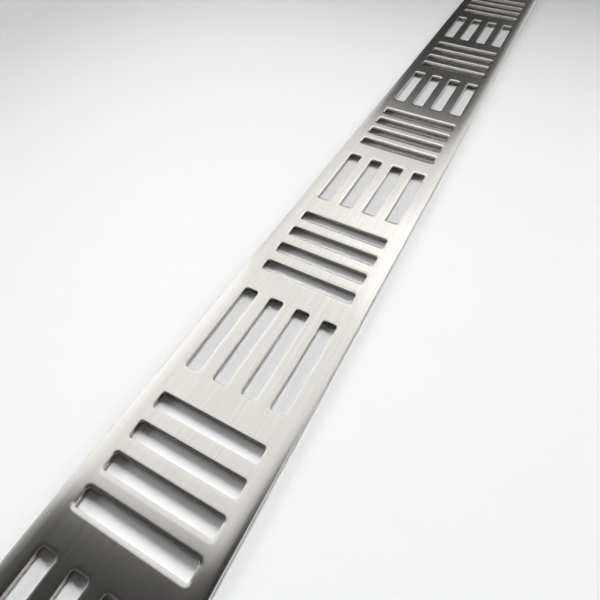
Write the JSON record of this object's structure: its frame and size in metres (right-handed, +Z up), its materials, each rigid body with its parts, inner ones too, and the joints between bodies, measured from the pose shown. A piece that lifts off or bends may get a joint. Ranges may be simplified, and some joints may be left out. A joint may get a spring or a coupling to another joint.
{
  "type": "linear floor drain grate",
  "caption": "Long flat stainless drain grate pierced by square groups of slots, laid lengthwise and crosswise by turns, on rubber strips that keep it from rattling in its channel.",
  "frame": {"origin": "centre of the plate's outline, on the plane of the ledge that the rubber strips rest on", "axes": "+X along the channel, +Y across it, +Z up out of the face that is walked on"},
  "size_m": [0.7, 0.0544, 0.0025],
  "materials": {
    "brushed_stainless": "brushed along the length",
    "strip_rubber": "matte"
  },
  "bodies": {
    "root": {"grate_plate": "brushed_stainless", "pad_left_1": "strip_rubber", "pad_left_2": "strip_rubber", "pad_left_3": "strip_rubber", "pad_left_4": "strip_rubber", "pad_left_5": "strip_rubber", "pad_left_6": "strip_rubber", "pad_left_7": "strip_rubber", "pad_left_8": "strip_rubber", "pad_left_9": "strip_rubber", "pad_left_10": "strip_rubber", "pad_right_1": "strip_rubber", "pad_right_2": "strip_rubber", "pad_right_3": "strip_rubber", "pad_right_4": "strip_rubber", "pad_right_5": "strip_rubber", "pad_right_6": "strip_rubber", "pad_right_7": "strip_rubber", "pad_right_8": "strip_rubber", "pad_right_9": "strip_rubber", "pad_right_10": "strip_rubber"}
  },
  "joints": []
}
